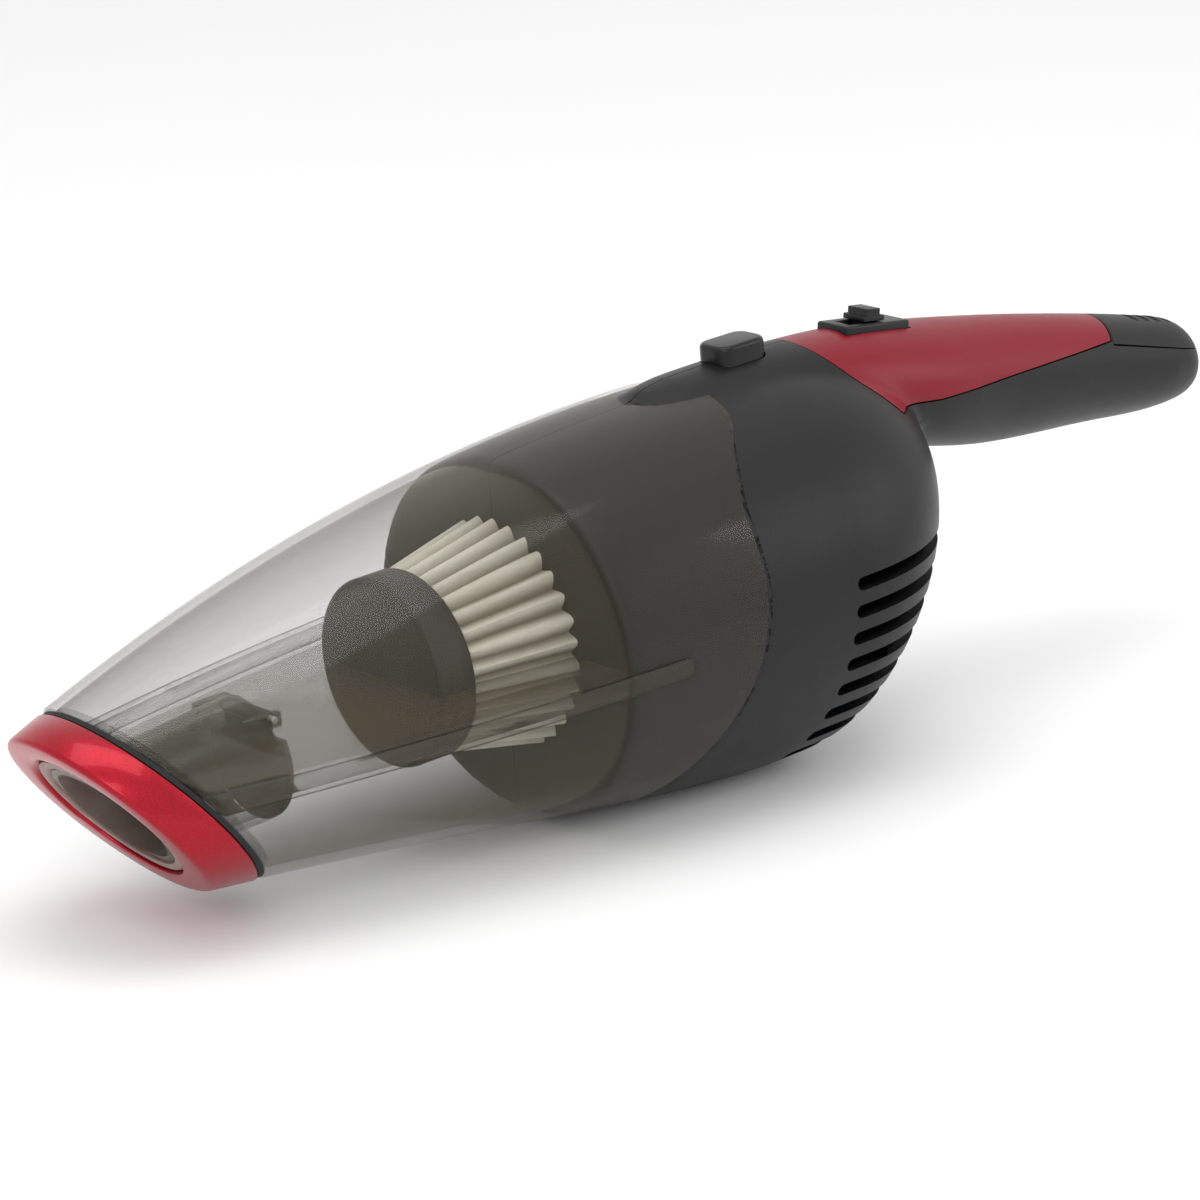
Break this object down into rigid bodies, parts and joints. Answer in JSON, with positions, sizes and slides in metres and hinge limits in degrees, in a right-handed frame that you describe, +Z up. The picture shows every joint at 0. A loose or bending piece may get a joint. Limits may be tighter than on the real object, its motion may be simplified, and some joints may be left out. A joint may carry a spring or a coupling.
{
  "type": "handheld_vacuum",
  "caption": "Cordless handheld vacuum: clear smoke dust cup with slanted red nozzle, pleated cartridge filter, black housing with side louvres, bent red-and-black handle, slide switch",
  "frame": {"origin": "centre of the bounding box's bottom face, on the surface the vacuum stands on", "axes": "+X towards the nozzle, +Z up, +Y to the side that is on the left when looking along +X; the fan axis points 4 degrees nose-down in the XZ plane"},
  "size_m": [0.3842, 0.103, 0.1104],
  "materials": {
    "housing_black": "black moulded ABS, fine satin texture, slight sheen",
    "trim_red": "deep red satin moulded plastic",
    "grip_black": "black moulded grip end with cross ribs",
    "holder_black": "black moulded plastic, satin",
    "seal_rubber": "black soft rubber",
    "switch_black": "black moulded switch plastic, satin",
    "inner_black": "black moulded plastic",
    "motor_steel": "rolled plated steel can",
    "inner_nylon": "natural nylon, satin",
    "cell_sleeve": "blue heat-shrunk sleeve over a metal can",
    "board_green": "glass-fibre circuit board with green solder mask",
    "lamp_lens": "small clear green lamp lens",
    "spring_steel": "bright drawn steel",
    "cup_smoke": "clear smoke-tinted moulded plastic, polished",
    "collar_red": "metallic red lacquer, high gloss",
    "liner_grey": "grey-beige moulded liner",
    "tube_smoke": "clear smoke-tinted moulded tube, polished",
    "filter_paper": "cream pleated filter paper",
    "cap_black": "dark grey moulded end cap, satin",
    "button_black": "black moulded button, satin",
    "armature_copper": "wound copper on a laminated core"
  },
  "bodies": {
    "housing": {"housing_left": "housing_black", "housing_right": "housing_black", "handle_trim": "trim_red", "handle_end_cap": "grip_black", "filter_holder": "holder_black", "cup_seal": "seal_rubber", "switch_plate": "switch_black", "switch_case": "inner_black", "motor_can": "motor_steel", "motor_end_bell": "inner_nylon", "motor_mount": "inner_black", "fan_shroud": "inner_nylon", "battery_cell_1": "cell_sleeve", "battery_cell_2": "cell_sleeve", "battery_cell_3": "cell_sleeve", "battery_cradle": "inner_black", "circuit_board": "board_green", "charge_jack": "inner_black", "charge_lamp": "lamp_lens", "spring_seat": "inner_black", "catch_spring": "spring_steel", "catch_pin": "spring_steel", "housing_screw_1": "spring_steel", "housing_screw_2": "spring_steel", "housing_screw_3": "spring_steel", "housing_screw_4": "spring_steel", "housing_screw_5": "spring_steel"},
    "cup": {"dust_cup": "cup_smoke", "nozzle_collar": "collar_red", "mouth_liner": "liner_grey", "collar_gasket": "seal_rubber", "intake_tube": "tube_smoke", "flap_pin": "spring_steel"},
    "flap": {"flap_valve": "seal_rubber"},
    "filter": {"pleated_filter": "filter_paper", "filter_core": "inner_nylon", "filter_cap": "cap_black", "filter_flange": "cap_black", "filter_gasket": "seal_rubber"},
    "button": {"release_button": "button_black"},
    "catch": {"catch_lever": "inner_black"},
    "slider": {"switch_slider": "switch_black"},
    "fan": {"motor_shaft": "spring_steel", "motor_armature": "armature_copper", "fan_wheel": "inner_nylon"}
  },
  "joints": [
    {"name": "cup_pull", "type": "slide", "parent": "housing", "child": "cup", "axis": [0.9976, 0, -0.0698], "range_m": [0, 0.11]},
    {"name": "flap_swing", "type": "hinge", "parent": "cup", "child": "flap", "pos_m": [0.13204, 0, 0.04662], "axis": [0, 1, 0], "range_deg": [0, 50], "stiffness_Nm_per_rad": 0.0006},
    {"name": "filter_pull", "type": "slide", "parent": "housing", "child": "filter", "axis": [0.9976, 0, -0.0698], "range_m": [0, 0.028]},
    {"name": "button_press", "type": "slide", "parent": "housing", "child": "button", "axis": [-0.0698, 0, -0.9976], "range_m": [0, 0.0016], "stiffness_N_per_m": 350, "springref_m": -0.001},
    {"name": "catch_tilt", "type": "hinge", "parent": "housing", "child": "catch", "pos_m": [-0.04096, 0, 0.09581], "axis": [0, 1, 0], "range_deg": [0, 5.8], "deforming": ["catch_spring"]},
    {"name": "switch_slide", "type": "slide", "parent": "housing", "child": "slider", "axis": [0.9972, 0, 0.0751], "range_m": [0, 0.0045]},
    {"name": "fan_spin", "type": "hinge", "parent": "housing", "child": "fan", "pos_m": [0.02, 0, 0.05005], "axis": [0.9976, 0, -0.0698], "continuous": true}
  ],
  "couplings": [
    {"joint": "catch_tilt", "follows": "button_press", "rad_per_m": 60.6}
  ]
}
